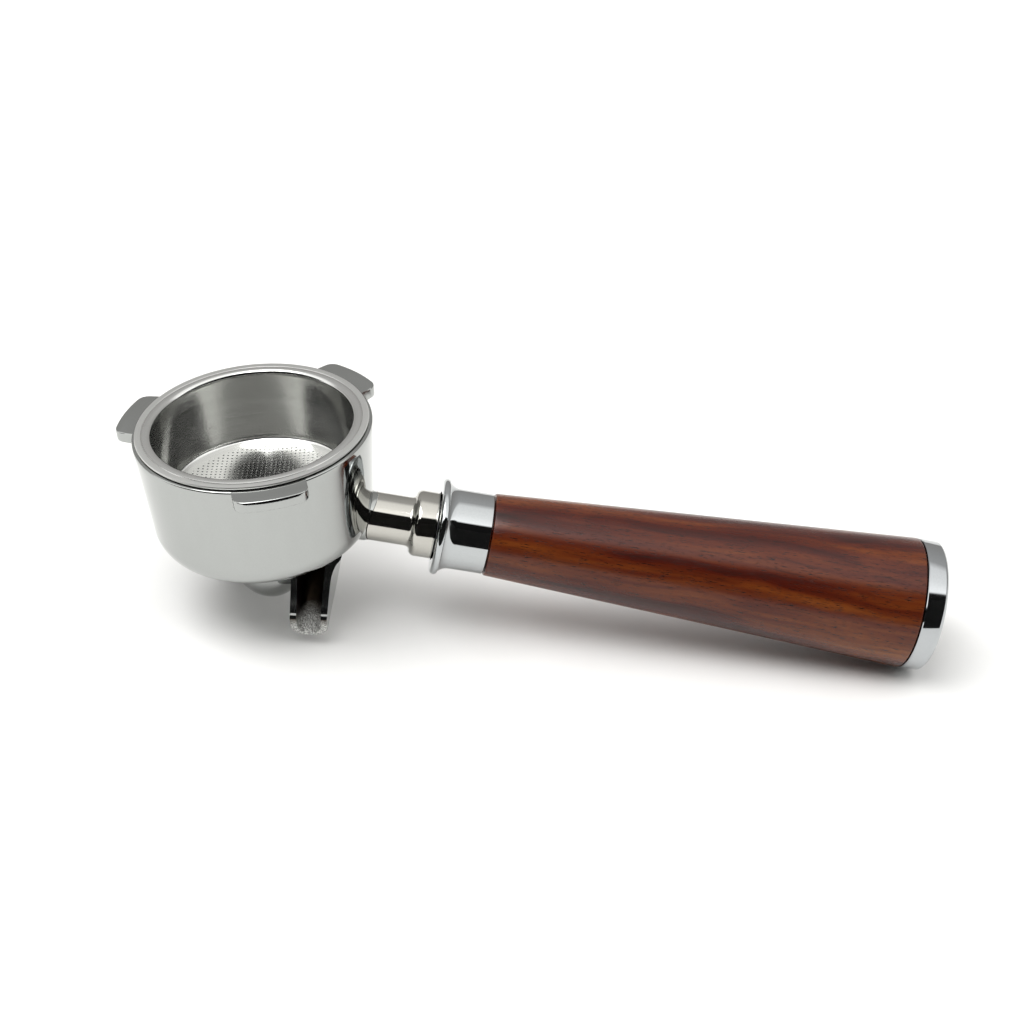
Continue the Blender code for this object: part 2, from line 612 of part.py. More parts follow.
def make_end_cap():
    """The chromed end cap: a disc with a bevelled rim and a tapped plug."""
    radius = GRIP_TAIL_RADIUS
    profile = [(0.0, CAP_END), (radius - CAP_EDGE, CAP_END), (radius, CAP_END - CAP_EDGE)]
    profile += [(radius, CAP_START), (CAP_PLUG_RADIUS, CAP_START), (CAP_PLUG_RADIUS, PLUG_START)]
    profile += [(CAP_STUD_BORE, PLUG_START), (CAP_STUD_BORE, CAP_END - CAP_SKIN)]
    profile.append((0.0, CAP_END - CAP_SKIN))
    return turned("end_cap", profile, HANDLE_STEPS, CAP_CHROME, HANDLE_AXIS)


make_bowl()
make_basket()
make_basket_spring()
make_spout_gasket()
make_spout()
make_neck()
make_handle_stud()
make_lock_nut()
make_ferrule()
make_grip()
make_insert("front_insert", FRONT_INSERT_START, FRONT_INSERT_END, INSERT_RADIUS, STUD_BORE)
make_insert("tail_insert", TAIL_INSERT_START, TAIL_INSERT_END, TAIL_INSERT_RADIUS, CAP_STUD_BORE)
make_cap_stud()
make_end_cap()
bpy.context.view_layer.update()
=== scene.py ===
"""A portafilter on a pale table: chromed bowl and spout, steel basket, hardwood handle.

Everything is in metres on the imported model's own frame. The bowl's axis is Z, the
basket's rim is at Z = 0, and the handle points towards +X and slopes down.
"""
import json
import math

import bmesh
import bpy
from mathutils import Matrix, Vector


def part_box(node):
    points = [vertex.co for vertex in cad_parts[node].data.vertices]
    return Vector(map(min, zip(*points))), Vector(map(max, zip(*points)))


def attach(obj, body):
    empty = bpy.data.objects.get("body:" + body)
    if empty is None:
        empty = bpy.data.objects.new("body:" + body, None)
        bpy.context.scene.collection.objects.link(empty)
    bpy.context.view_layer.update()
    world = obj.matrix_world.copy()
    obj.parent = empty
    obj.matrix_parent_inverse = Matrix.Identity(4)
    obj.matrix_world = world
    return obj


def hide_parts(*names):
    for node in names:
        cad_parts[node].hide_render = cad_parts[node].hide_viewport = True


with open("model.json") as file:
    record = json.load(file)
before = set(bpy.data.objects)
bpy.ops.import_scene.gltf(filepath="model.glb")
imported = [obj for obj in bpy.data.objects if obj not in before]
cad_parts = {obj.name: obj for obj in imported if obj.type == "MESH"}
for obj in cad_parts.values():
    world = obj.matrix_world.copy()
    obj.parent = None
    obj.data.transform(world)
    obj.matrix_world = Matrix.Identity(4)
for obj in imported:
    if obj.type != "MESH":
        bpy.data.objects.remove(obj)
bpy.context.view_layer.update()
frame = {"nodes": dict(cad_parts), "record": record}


# ---- Camera ----
# A long lens a little over half a metre away, looking down at 34 degrees.
camera_data = bpy.data.cameras.new("camera")
camera_data.lens = 77.34
camera_data.sensor_width = 36.0
camera_data.clip_start = 0.01
camera = bpy.data.objects.new("camera", camera_data)
camera.location = (0.08617, -0.47122, 0.28874)
camera.rotation_euler = (math.radians(55.865), math.radians(3.160), math.radians(0.540))
bpy.context.scene.collection.objects.link(camera)
bpy.context.scene.camera = camera


# ---- Bowl ----
# The cup that carries everything: a brass casting, turned inside and out, with three
# lugs that lock under the group and a short root for the neck. It is buffed to a mirror
# and plated with bright chrome.
def to_linear(code):
    """An sRGB hex colour as linear red, green, blue and alpha."""
    channels = [int(code[place:place + 2], 16) / 255.0 for place in (1, 3, 5)]
    linear = [c / 12.92 if c <= 0.04045 else ((c + 0.055) / 1.055) ** 2.4 for c in channels]
    return (*linear, 1.0)


def node(tree, kind, inputs=None, **settings):
    """Add one node with its settings, and set or link its inputs by name or number."""
    made = tree.nodes.new(kind)
    for key, value in settings.items():
        setattr(made, key, value)
    for key, value in (inputs or {}).items():
        socket = made.inputs[key]
        if isinstance(value, bpy.types.NodeSocket):
            tree.links.new(value, socket)
        else:
            socket.default_value = value
    return made


def start_material(name):
    """An empty node material with its shader and the object's own coordinates."""
    made = bpy.data.materials.new(name)
    made.use_nodes = True
    tree = made.node_tree
    tree.nodes.clear()
    shader = node(tree, "ShaderNodeBsdfPrincipled")
    output = node(tree, "ShaderNodeOutputMaterial", {"Surface": shader.outputs["BSDF"]})
    output.location = (300, 0)
    place = node(tree, "ShaderNodeTexCoord").outputs["Object"]
    return made, tree, shader, place


def bright_chrome(name, colour, haze_low, haze_high, wobble):
    """Decorative chrome over buffed brass: a hard mirror with a faint wave from the buff."""
    made, tree, shader, place = start_material(name)
    shader.inputs["Metallic"].default_value = 1.0
    smudges = node(tree, "ShaderNodeTexNoise", {"Vector": place, "Scale": 90.0, "Detail": 4.0})
    grains = node(tree, "ShaderNodeTexNoise", {"Vector": place, "Scale": 2600.0, "Detail": 2.0})
    haze = node(
        tree, "ShaderNodeMapRange",
        {"Value": smudges.outputs["Fac"], "From Min": 0.35, "From Max": 0.7,
         "To Min": haze_low, "To Max": haze_high},
    )
    tree.links.new(haze.outputs["Result"], shader.inputs["Roughness"])
    tint = node(
        tree, "ShaderNodeMix",
        {0: grains.outputs["Fac"], 6: to_linear(colour[0]), 7: to_linear(colour[1])},
        data_type="RGBA",
    )
    tree.links.new(tint.outputs[2], shader.inputs["Base Color"])
    waves = node(tree, "ShaderNodeTexNoise", {"Vector": place, "Scale": 120.0, "Detail": 1.0})
    swell = node(
        tree, "ShaderNodeBump",
        {"Height": waves.outputs["Fac"], "Strength": wobble, "Distance": 0.0002},
    )
    tree.links.new(swell.outputs["Normal"], shader.inputs["Normal"])
    return made


crease = math.radians(32.0)


def finish_mesh(work, name, body, slot, finishes):
    """Turn a bmesh into a smooth piece that rides on a body and replaces its CAD node."""
    bmesh.ops.remove_doubles(work, verts=work.verts, dist=0.0000005)
    bmesh.ops.recalc_face_normals(work, faces=work.faces)
    for face in work.faces:
        face.smooth = True
    mesh = bpy.data.meshes.new(name)
    work.to_mesh(mesh)
    work.free()
    mesh.set_sharp_from_angle(angle=crease)
    for finish in finishes:
        mesh.materials.append(finish)
    piece = bpy.data.objects.new(name, mesh)
    bpy.context.scene.collection.objects.link(piece)
    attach(piece, body)
    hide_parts(slot)
    return piece


def spun(profile, steps, closed=False, place=None):
    """A bmesh turned about Z from (radius, height) points, then moved into place."""
    work = bmesh.new()
    verts = [work.verts.new((radius, 0.0, height)) for radius, height in profile]
    edges = [work.edges.new(pair) for pair in zip(verts, verts[1:])]
    if closed:
        edges.append(work.edges.new((verts[-1], verts[0])))
    bmesh.ops.spin(
        work, geom=verts + edges, axis=(0.0, 0.0, 1.0), cent=(0.0, 0.0, 0.0),
        angle=math.tau, steps=steps, use_merge=True,
    )
    bmesh.ops.remove_doubles(work, verts=work.verts, dist=0.0000005)
    bmesh.ops.recalc_face_normals(work, faces=work.faces)
    if place:
        bmesh.ops.transform(work, matrix=place, verts=work.verts)
    return work


def bend(centre_r, centre_h, radius, start, end, steps):
    """Profile points round an arc, from start to end degrees."""
    turn = [math.radians(start + (end - start) * step / steps) for step in range(steps + 1)]
    return [(centre_r + radius * math.cos(t), centre_h + radius * math.sin(t)) for t in turn]


def tool_piece(work, name, finishes=()):
    """A hidden shape that a Boolean joins or cuts with, removed afterwards."""
    for face in work.faces:
        face.smooth = True
    mesh = bpy.data.meshes.new(name)
    work.to_mesh(mesh)
    work.free()
    for finish in finishes:
        mesh.materials.append(finish)
    made = bpy.data.objects.new(name, mesh)
    bpy.context.scene.collection.objects.link(made)
    return made


def combine(piece, steps):
    """Apply Booleans in turn, remove their shapes, and keep the hard edges crisp."""
    for operation, other in steps:
        change = piece.modifiers.new(operation, "BOOLEAN")
        change.operation = operation
        change.solver = "EXACT"
        change.material_mode = "TRANSFER"
        change.object = other
    ready = piece.evaluated_get(bpy.context.evaluated_depsgraph_get())
    mesh = bpy.data.meshes.new_from_object(ready)
    piece.modifiers.clear()
    piece.data = mesh
    for operation, other in steps:
        bpy.data.objects.remove(other, do_unlink=True)
    mesh.set_sharp_from_angle(angle=crease)


handle_joint = next(j for j in frame["record"]["behaviour"]["joints"] if j["name"] == "grip_turn")
handle_way = Vector(handle_joint["axis"]).normalized()
joint_place = Vector(handle_joint["pos_m"])
handle_start = joint_place - handle_way * (joint_place.x / handle_way.x)
along_handle = Matrix.Translation(handle_start) @ (
    Vector((0.0, 0.0, 1.0)).rotation_difference(handle_way).to_matrix().to_4x4()
)

bowl_chrome = bright_chrome("polished_chrome_on_brass", ("#a6a8a6", "#acaeac"), 0.035, 0.075, 0.05)

bowl_low, bowl_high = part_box("bowl")
rim_height = bowl_high[2]
boss_end = bowl_low[2]
rim_r, foot_r, wall_height = 0.0305, 0.02845, 0.0239
bottom_h, corner_r = -0.0333, 0.008
boss_r, bore_r = 0.0080, 0.0045
outside = [(0.0, rim_height), (rim_r - 0.0005, rim_height)]
outside += bend(rim_r - 0.0005, rim_height - 0.0005, 0.0005, 90.0, 0.0, 4)[1:]
outside += [
    (rim_r + (foot_r - rim_r) * k / 12, rim_height - 0.0005 - wall_height * k / 12) for k in range(1, 12)
]
outside += bend(foot_r - corner_r, bottom_h + corner_r, corner_r, 0.0, -90.0, 16)
outside += [(0.0150, bottom_h), (boss_r + 0.0006, bottom_h), (boss_r, bottom_h - 0.0006)]
outside += [(boss_r, boss_end + 0.0005), (boss_r - 0.0005, boss_end), (0.0, boss_end)]
bowl = finish_mesh(spun(outside, 192), "bowl_casting", "holder", "bowl", [bowl_chrome])


def lug_block(turn):
    """One lug: a block 18.4 mm wide with rounded outer corners and softened edges."""
    width, root, reach, thick, corner = 0.0184, 0.0286, 0.0352, 0.0030, 0.0030
    work = bmesh.new()
    side = [Vector((root, -width / 2, 0.0)), Vector((root, width / 2, 0.0))]
    corner_y = width / 2 - corner
    corner_x = math.sqrt((reach - corner) ** 2 - corner_y ** 2)
    tilt = math.degrees(math.atan2(corner_y, corner_x))
    outline = bend(corner_x, -corner_y, corner, -90.0, -tilt, 8)
    outline += bend(0.0, 0.0, reach, -tilt, tilt, 20)[1:-1]
    outline += bend(corner_x, corner_y, corner, tilt, 90.0, 8)
    corners = [work.verts.new(side[0])]
    corners += [work.verts.new((x, y, 0.0)) for x, y in outline]
    corners.append(work.verts.new(side[1]))
    face = work.faces.new(corners)
    raised = bmesh.ops.extrude_face_region(work, geom=[face])["geom"]
    bmesh.ops.translate(
        work, vec=(0.0, 0.0, -thick), verts=[v for v in raised if isinstance(v, bmesh.types.BMVert)]
    )
    bmesh.ops.recalc_face_normals(work, faces=work.faces)
    rounded = [
        edge for edge in work.edges
        if abs(edge.verts[0].co.z - edge.verts[1].co.z) < 0.0001
        and min(v.co.x for v in edge.verts) > root + 0.00001 and edge.calc_face_angle(0.0) > 1.0
    ]
    bmesh.ops.bevel(
        work, geom=rounded, offset=0.00035, segments=3, profile=0.5, affect="EDGES", material=-1
    )
    lift = Matrix.Translation((0.0, 0.0, rim_height - 0.00002))
    bmesh.ops.transform(work, matrix=Matrix.Rotation(math.radians(turn), 4, "Z") @ lift, verts=work.verts)
    return work


seam_at, seam_bend, neck_r = 0.0292, 0.0140, 0.0064


def seam_bar(radius):
    """The round bar across the handle's axis that shapes the seam of bowl and neck."""
    work = bmesh.new()
    bmesh.ops.create_cone(
        work, cap_ends=True, segments=160, radius1=radius, radius2=radius, depth=0.026
    )
    bmesh.ops.rotate(work, verts=work.verts, matrix=Matrix.Rotation(math.radians(90.0), 3, "Y"))
    bmesh.ops.translate(work, verts=work.verts, vec=(0.0, 0.0, seam_at - seam_bend))
    bmesh.ops.transform(work, matrix=along_handle, verts=work.verts)
    return work


root_profile = [(0.0, seam_at + 0.0012), (neck_r, seam_at + 0.0012), (neck_r, seam_at - 0.0004)]
root_profile += bend(neck_r + 0.0020, seam_at - 0.0004, 0.0020, 180.0, 215.0, 6)[1:]
root_profile += bend(0.0, seam_at - neck_r, neck_r + 0.0004, 0.0, -90.0, 12)
neck_root = tool_piece(spun(root_profile, 96, place=along_handle), "neck_root", [bowl_chrome])
seam_piece = tool_piece(seam_bar(seam_bend), "seam_bowl_side")
combine(neck_root, [("INTERSECT", seam_piece)])

wire_level, cavity_r, groove_deep, groove_half = -0.0070, 0.0267, 0.0012, 0.0010
floor_level, floor_corner = -0.0298, 0.0050
cavity = [(0.0, 0.0006), (cavity_r + 0.0004, 0.0006)]
cavity += [(cavity_r + 0.0004, rim_height), (cavity_r, rim_height - 0.0004)]
cavity += [(cavity_r, wire_level + groove_half), (cavity_r + groove_deep, wire_level + groove_half)]
cavity += [(cavity_r + groove_deep, wire_level - groove_half), (cavity_r, wire_level - groove_half)]
cavity += bend(cavity_r - floor_corner, floor_level + floor_corner, floor_corner, 0.0, -90.0, 12)
cavity += [(bore_r + 0.0006, floor_level - 0.0007), (bore_r, floor_level - 0.0013)]
cavity += [(bore_r, boss_end - 0.0003), (0.0, boss_end - 0.0003)]
lugs = [tool_piece(lug_block(turn), "lug", [bowl_chrome]) for turn in (45.0, 165.0, 284.0)]
combine(
    bowl,
    [("UNION", lug) for lug in lugs]
    + [("UNION", neck_root), ("DIFFERENCE", tool_piece(spun(cavity, 192), "cavity", [bowl_chrome]))],
)


# ---- Filter basket ----
# Pressed from 0.6 mm stainless sheet: a flat rim that the group's gasket seals on, a
# rolled inner lip, a straight wall and a dished floor pierced with fine holes. The lathe
# leaves a fine grain round it, and the floor is bright.
def brushed_steel(name):
    """Drawn stainless: fine lines round the axis, and rows of tiny holes in the floor, painted near-black
    as painted shade for the gap seen through them.
    """
    made, tree, shader, place = start_material(name)
    shader.inputs["Metallic"].default_value = 1.0
    axes = node(tree, "ShaderNodeSeparateXYZ", {0: place})
    turn = node(tree, "ShaderNodeMath", {0: axes.outputs[1], 1: axes.outputs[0]}, operation="ARCTAN2")
    across = node(tree, "ShaderNodeVectorMath", {0: place, 1: (1.0, 1.0, 0.0)}, operation="MULTIPLY")
    radius = node(tree, "ShaderNodeVectorMath", {0: across.outputs[0]}, operation="LENGTH")
    rows = node(
        tree, "ShaderNodeCombineXYZ", {0: turn.outputs[0], 1: radius.outputs["Value"], 2: axes.outputs[2]}
    )
    # a line every 0.15 mm, which is coarser than a real drawn grain so that it shows
    lines = node(
        tree, "ShaderNodeVectorMath", {0: rows.outputs[0], 1: (1.3, 6500.0, 6500.0)}, operation="MULTIPLY"
    )
    grain = node(tree, "ShaderNodeTexNoise", {"Vector": lines.outputs[0], "Scale": 1.0, "Detail": 2.0})
    broad = node(
        tree, "ShaderNodeVectorMath", {0: rows.outputs[0], 1: (0.8, 900.0, 900.0)}, operation="MULTIPLY"
    )
    bands = node(tree, "ShaderNodeTexNoise", {"Vector": broad.outputs[0], "Scale": 1.0, "Detail": 3.0})
    # holes 0.4 mm across in rows 1.2 mm apart
    cells = node(
        tree, "ShaderNodeTexVoronoi", {"Vector": place, "Scale": 840.0, "Randomness": 0.0},
        voronoi_dimensions="2D",
    )
    hole = node(
        tree, "ShaderNodeMapRange",
        {"Value": cells.outputs["Distance"], "From Min": 0.15, "From Max": 0.2,
         "To Min": 1.0, "To Max": 0.0},
    )
    low = node(
        tree, "ShaderNodeMapRange",
        {"Value": axes.outputs[2], "From Min": -0.0200, "From Max": -0.0203, "To Min": 0.0, "To Max": 1.0},
    )
    inner = node(
        tree, "ShaderNodeMapRange",
        {"Value": radius.outputs["Value"], "From Min": 0.0216, "From Max": 0.0219,
         "To Min": 1.0, "To Max": 0.0},
    )
    floor_area = node(
        tree, "ShaderNodeMath", {0: low.outputs["Result"], 1: inner.outputs["Result"]}, operation="MULTIPLY"
    )
    pierced = node(
        tree, "ShaderNodeMath", {0: floor_area.outputs[0], 1: hole.outputs["Result"]}, operation="MULTIPLY"
    )
    sheet = node(
        tree, "ShaderNodeMix",
        {0: bands.outputs["Fac"], 6: to_linear("#c9cac7"), 7: to_linear("#dadad8")}, data_type="RGBA",
    )
    # the holes are not cut through: each is painted near-black, painted shade standing in for the dark gap
    # under the floor
    dark = node(
        tree, "ShaderNodeMix",
        {0: pierced.outputs[0], 6: sheet.outputs[2], 7: to_linear("#141312")}, data_type="RGBA",
    )
    tree.links.new(dark.outputs[2], shader.inputs["Base Color"])
    satin = node(
        tree, "ShaderNodeMapRange",
        {"Value": grain.outputs["Fac"], "From Min": 0.3, "From Max": 0.7, "To Min": 0.12, "To Max": 0.19},
    )
    # the flat rim has been rubbed dull, and the floor is spun bright
    rim = node(
        tree, "ShaderNodeMapRange",
        {"Value": radius.outputs["Value"], "From Min": 0.0279, "From Max": 0.0281,
         "To Min": 0.0, "To Max": 1.0},
    )
    dulled = node(
        tree, "ShaderNodeMix",
        {0: rim.outputs["Result"], 2: satin.outputs["Result"], 3: 0.42}, data_type="FLOAT",
    )
    softness = node(
        tree, "ShaderNodeMix", {0: floor_area.outputs[0], 2: dulled.outputs[0], 3: 0.14}, data_type="FLOAT"
    )
    tree.links.new(softness.outputs[0], shader.inputs["Roughness"])
    stretch = node(tree, "ShaderNodeMath", {0: floor_area.outputs[0], 1: 0.85}, operation="MULTIPLY")
    tree.links.new(stretch.outputs[0], shader.inputs["Anisotropic"])
    round_axis = node(tree, "ShaderNodeTangent", direction_type="RADIAL", axis="Z")
    tree.links.new(round_axis.outputs[0], shader.inputs["Tangent"])
    scratch = node(
        tree, "ShaderNodeBump", {"Height": grain.outputs["Fac"], "Strength": 0.05, "Distance": 0.00002}
    )
    dents = node(
        tree, "ShaderNodeBump",
        {"Height": pierced.outputs[0], "Strength": 0.6, "Distance": 0.0001, "Normal": scratch.outputs[0]},
        invert=True,
    )
    tree.links.new(dents.outputs["Normal"], shader.inputs["Normal"])
    return made


drawn_stainless = brushed_steel("drawn_stainless_steel")
sheet_gauge, basket_depth, foot_corner_r, foot_corner = 0.0006, 0.0216, 0.0232, 0.0014
flange_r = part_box("basket")[1][0]
corner_level = -0.0190
dish = (
    (0.0236, 0.0014), (0.0226, 0.0012), (0.0220, 0.00105), (0.0190, 0.0006),
    (0.0140, 0.0003), (0.0080, 0.00008), (0.0, 0.0),
)
pressed = [(flange_r - 0.0001, -sheet_gauge), (flange_r, -sheet_gauge / 2)]
pressed += [(flange_r - 0.0001, -0.00003), (flange_r - 0.0003, 0.0), (0.0281, 0.0)]
pressed += [(0.0280, -0.00012), (0.0279, 0.00002), (0.0275, 0.00016)]
pressed += [(0.0270, 0.00023), (0.0264, 0.00018), (0.0260, 0.00002), (0.0257, -0.0003)]
pressed += [(0.02552, -0.0008), (0.0255, -0.0014), (0.0253, -0.0055), (0.02496, -0.0120)]
pressed += bend(foot_corner_r, corner_level, foot_corner, 0.0, -52.0, 6)
pressed += [(r, rise - basket_depth) for r, rise in dish]
pressed += [(r, rise - basket_depth - sheet_gauge) for r, rise in dish[:2:-1] + dish[1:2]]
pressed += bend(foot_corner_r, corner_level, foot_corner + sheet_gauge, -60.0, 0.0, 6)
pressed += [(0.0253 + sheet_gauge, -0.0055), (0.0255 + sheet_gauge, -0.0014), (0.0263, -sheet_gauge)]
finish_mesh(spun(pressed, 192, closed=True), "filter_basket", "filter", "basket", [drawn_stainless])


# ---- Basket spring ----
# An open ring of bright spring wire that snaps into a groove in the bowl and pinches
# the basket so that it doesn't fall out when the used coffee is knocked out.
def drawn_wire(name):
    """Hard-drawn steel wire: a satin skin with a tone that varies at random."""
    made, tree, shader, place = start_material(name)
    shader.inputs["Metallic"].default_value = 1.0
    skin = node(tree, "ShaderNodeTexNoise", {"Vector": place, "Scale": 1800.0, "Detail": 3.0})
    tint = node(
        tree, "ShaderNodeMix",
        {0: skin.outputs["Fac"], 6: to_linear("#86837e"), 7: to_linear("#b9b6b0")}, data_type="RGBA",
    )
    tree.links.new(tint.outputs[2], shader.inputs["Base Color"])
    rub = node(
        tree, "ShaderNodeMapRange", {"Value": skin.outputs["Fac"], "To Min": 0.2, "To Max": 0.4}
    )
    tree.links.new(rub.outputs["Result"], shader.inputs["Roughness"])
    return made


wire = bmesh.new()
ring = bmesh.ops.create_circle(wire, cap_ends=True, segments=16, radius=0.0006)["verts"]
bmesh.ops.rotate(wire, verts=ring, matrix=Matrix.Rotation(math.radians(90.0), 3, "X"))
bmesh.ops.translate(wire, verts=ring, vec=(0.0269, 0.0, wire_level))
bmesh.ops.rotate(wire, verts=ring, matrix=Matrix.Rotation(math.radians(10.0), 3, "Z"))
bmesh.ops.spin(
    wire, geom=wire.verts[:] + wire.edges[:] + wire.faces[:], axis=(0.0, 0.0, 1.0),
    cent=(0.0, 0.0, 0.0), angle=math.radians(340.0), steps=120,
)
finish_mesh(wire, "retaining_wire", "holder", "basket_spring", [drawn_wire("hard_drawn_wire")])


# ---- Spout gasket ----
# A flat silicone ring between the spout's hub and the bowl.
def moulded_silicone(name):
    """Red silicone rubber: soft sheen, a little dust."""
    made, tree, shader, place = start_material(name)
    dust = node(tree, "ShaderNodeTexNoise", {"Vector": place, "Scale": 700.0, "Detail": 4.0})
    tint = node(
        tree, "ShaderNodeMix",
        {0: dust.outputs["Fac"], 6: to_linear("#7c1f17"), 7: to_linear("#99352a")}, data_type="RGBA",
    )
    tree.links.new(tint.outputs[2], shader.inputs["Base Color"])
    shader.inputs["Roughness"].default_value = 0.55
    skin = node(
        tree, "ShaderNodeBump", {"Height": dust.outputs["Fac"], "Strength": 0.2, "Distance": 0.00005}
    )
    tree.links.new(skin.outputs["Normal"], shader.inputs["Normal"])
    return made


gasket_low, gasket_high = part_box("spout_gasket")
inner_r, outer_r = boss_r + 0.0003, boss_r + 0.0020
gasket_ring = [(inner_r, gasket_high[2]), (outer_r - 0.0001, gasket_high[2])]
gasket_ring += [(outer_r, gasket_high[2] - 0.0001), (outer_r, gasket_low[2] + 0.0001)]
gasket_ring += [(outer_r - 0.0001, gasket_low[2]), (inner_r, gasket_low[2])]
finish_mesh(
    spun(gasket_ring, 96, closed=True), "sealing_ring", "holder", "spout_gasket",
    [moulded_silicone("silicone_rubber")],
)


# ---- Spout ----
# One brass casting screwed up on the outlet: a hub with a round belly and two open
# gutters. The flanks are buffed and chromed; the channels keep the rough skin of the
# casting with painted shade high up, and the lips are ground by hand, with painted glints.
def cast_skin_with_painted_light(name):
    """Chrome over an unbuffed casting: painted shade above the lips, painted glints on them."""
    made, tree, shader, place = start_material(name)
    shader.inputs["Metallic"].default_value = 1.0
    # sand grains about 0.25 mm across
    sand = node(tree, "ShaderNodeTexNoise", {"Vector": place, "Scale": 3200.0, "Detail": 3.0})
    shade_mottle = node(tree, "ShaderNodeTexNoise", {"Vector": place, "Scale": 260.0, "Detail": 3.0})
    axes = node(tree, "ShaderNodeSeparateXYZ", {0: place})
    depth = node(
        tree, "ShaderNodeMapRange",
        {"Value": axes.outputs[2], "From Min": -0.0488, "From Max": -0.0515, "To Min": 0.0, "To Max": 1.0},
    )
    # painted shade: near-black, mottled brown at random, on the channels and bore above the lips
    painted_shade_tint = node(
        tree, "ShaderNodeMix",
        {0: shade_mottle.outputs["Fac"], 6: to_linear("#1a1815"), 7: to_linear("#57483c")}, data_type="RGBA",
    )
    # painted glints: near-white speckles on the sand grains at the lips
    glint = node(
        tree, "ShaderNodeMapRange",
        {"Value": sand.outputs["Fac"], "From Min": 0.38, "From Max": 0.66, "To Min": 0.0, "To Max": 1.0},
    )
    painted_glint_tint = node(
        tree, "ShaderNodeMix",
        {0: glint.outputs["Result"], 6: to_linear("#72726f"), 7: to_linear("#f4f4f1")}, data_type="RGBA",
    )
    # painted shade above the lips and painted glints on them, switched by height
    tint = node(
        tree, "ShaderNodeMix",
        {0: depth.outputs["Result"], 6: painted_shade_tint.outputs[2], 7: painted_glint_tint.outputs[2]}, data_type="RGBA",
    )
    tree.links.new(tint.outputs[2], shader.inputs["Base Color"])
    rough = node(
        tree, "ShaderNodeMapRange", {"Value": depth.outputs["Result"], "To Min": 0.34, "To Max": 0.62}
    )
    tree.links.new(rough.outputs["Result"], shader.inputs["Roughness"])
    scale = node(
        tree, "ShaderNodeMapRange", {"Value": depth.outputs["Result"], "To Min": 1.0, "To Max": 0.55}
    )
    tree.links.new(scale.outputs["Result"], shader.inputs["Metallic"])
    grit = node(
        tree, "ShaderNodeBump", {"Height": sand.outputs["Fac"], "Strength": 0.5, "Distance": 0.0001}
    )
    tree.links.new(grit.outputs["Normal"], shader.inputs["Normal"])
    return made


spout_chrome = bright_chrome("polished_chrome_on_casting", ("#9c9e9c", "#a9aaa9"), 0.05, 0.13, 0.12)
cast_chrome = cast_skin_with_painted_light("sand_cast_chrome_with_painted_light")
spout_low, spout_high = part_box("spout")
gutter_top, spout_tip = spout_high[2], spout_low[2]
spout_top = gasket_low[2] - 0.0003
gutter_drop = gutter_top - spout_tip
hub_r, hub_straight, hub_dome = 0.0100, 0.0067, 0.0116


def through(stations, count):
    """Smooth in-between stations, so that the loft bends instead of breaking."""
    dense = []
    last = len(stations) - 1
    for step in range(count + 1):
        at = last * step / count
        index = min(int(at), last - 1)
        t = at - index
        picks = [stations[max(0, min(last, index + shift))] for shift in (-1, 0, 1, 2)]
        dense.append([
            0.5 * (2 * b + (c - a) * t + (2 * a - 5 * b + 4 * c - d) * t * t
                   + (3 * b - a - 3 * c + d) * t ** 3)
            for a, b, c, d in zip(*picks)
        ])
    return dense


def gutter_loft(stations, inset, corner, flare, turn, finish_index=0):
    """U-shaped sections from the back to the front of a gutter, bridged into one solid."""
    work = bmesh.new()
    previous, rings = None, []
    for back_reach, back_rise, front_reach, front_rise in stations:
        back = Vector((back_reach, back_rise))
        ahead = Vector((front_reach, front_rise)) - back
        length = ahead.length
        ahead.normalize()
        quarter = [math.radians(90.0 * step / 8) for step in range(9)]
        outline = [(length * (1.0 - k / 6) + corner * k / 6, 1.0, 0.0) for k in range(6)]
        outline += [(corner * (1.0 - math.sin(t)), 1.0, corner * (1.0 - math.cos(t))) for t in quarter]
        outline += [(at, -1.0, cut) for at, _, cut in reversed(outline)]
        ring = []
        for at, side, cut in outline:
            reach, rise = back + ahead * at
            spread = flare * max(0.0, rise / gutter_drop) ** 10 if side > 0.0 else 0.0
            half = (0.0095 + 0.05 * rise) / 2 - inset + spread - cut
            ring.append(work.verts.new((reach, spout_tip + rise, -(0.0121 + 0.096 * rise + side * half))))
        edges = [work.edges.new((ring[index - 1], ring[index])) for index in range(len(ring))]
        if previous:
            bmesh.ops.bridge_loops(work, edges=previous + edges)
        previous = edges
        rings.append(ring)
    work.faces.new(rings[0])
    end_face = work.faces.new(rings[-1])
    end_face.material_index = finish_index
    angle = math.radians(turn)
    forward = Vector((math.cos(angle), math.sin(angle), 0.0))
    up = Vector((0.0, 0.0, 1.0))
    bmesh.ops.transform(
        work, matrix=Matrix((forward, up, forward.cross(up))).transposed().to_4x4(), verts=work.verts
    )
    bmesh.ops.recalc_face_normals(work, faces=work.faces)
    return work


